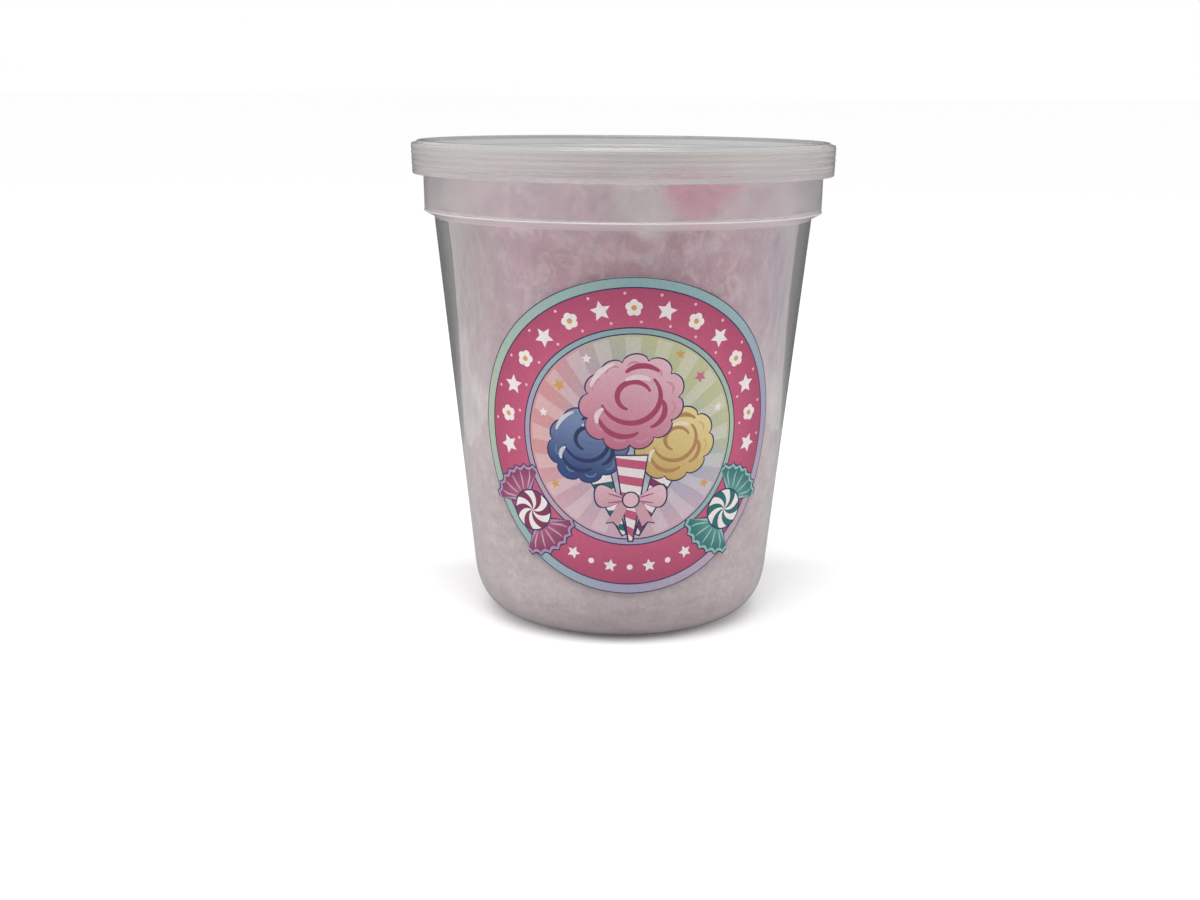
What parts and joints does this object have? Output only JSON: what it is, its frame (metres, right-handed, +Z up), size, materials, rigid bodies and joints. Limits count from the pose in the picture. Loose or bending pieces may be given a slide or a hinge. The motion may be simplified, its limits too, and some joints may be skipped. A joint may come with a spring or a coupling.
{
  "type": "tub of cotton candy",
  "caption": "Clear tapered round tub of pale pink cotton candy, shut with a frosted press-on lid, with a round paper label on the front.",
  "frame": {"origin": "centre of the foot that the tub stands on, at table height", "axes": "+Z up through the middle of the lid; the label faces -Y; +X is to the right of the label"},
  "size_m": [0.119, 0.119, 0.136],
  "materials": {
    "tub_plastic": "clear moulded polypropylene, slightly hazy",
    "lid_plastic": "frosted translucent moulded polypropylene",
    "spun_sugar": "soft fibrous spun sugar, pale mauve pink with pinker patches",
    "label_paper": "printed satin paper"
  },
  "bodies": {
    "root": {"tub": "tub_plastic", "lid": "lid_plastic", "cotton_candy": "spun_sugar", "label": "label_paper"}
  },
  "joints": []
}
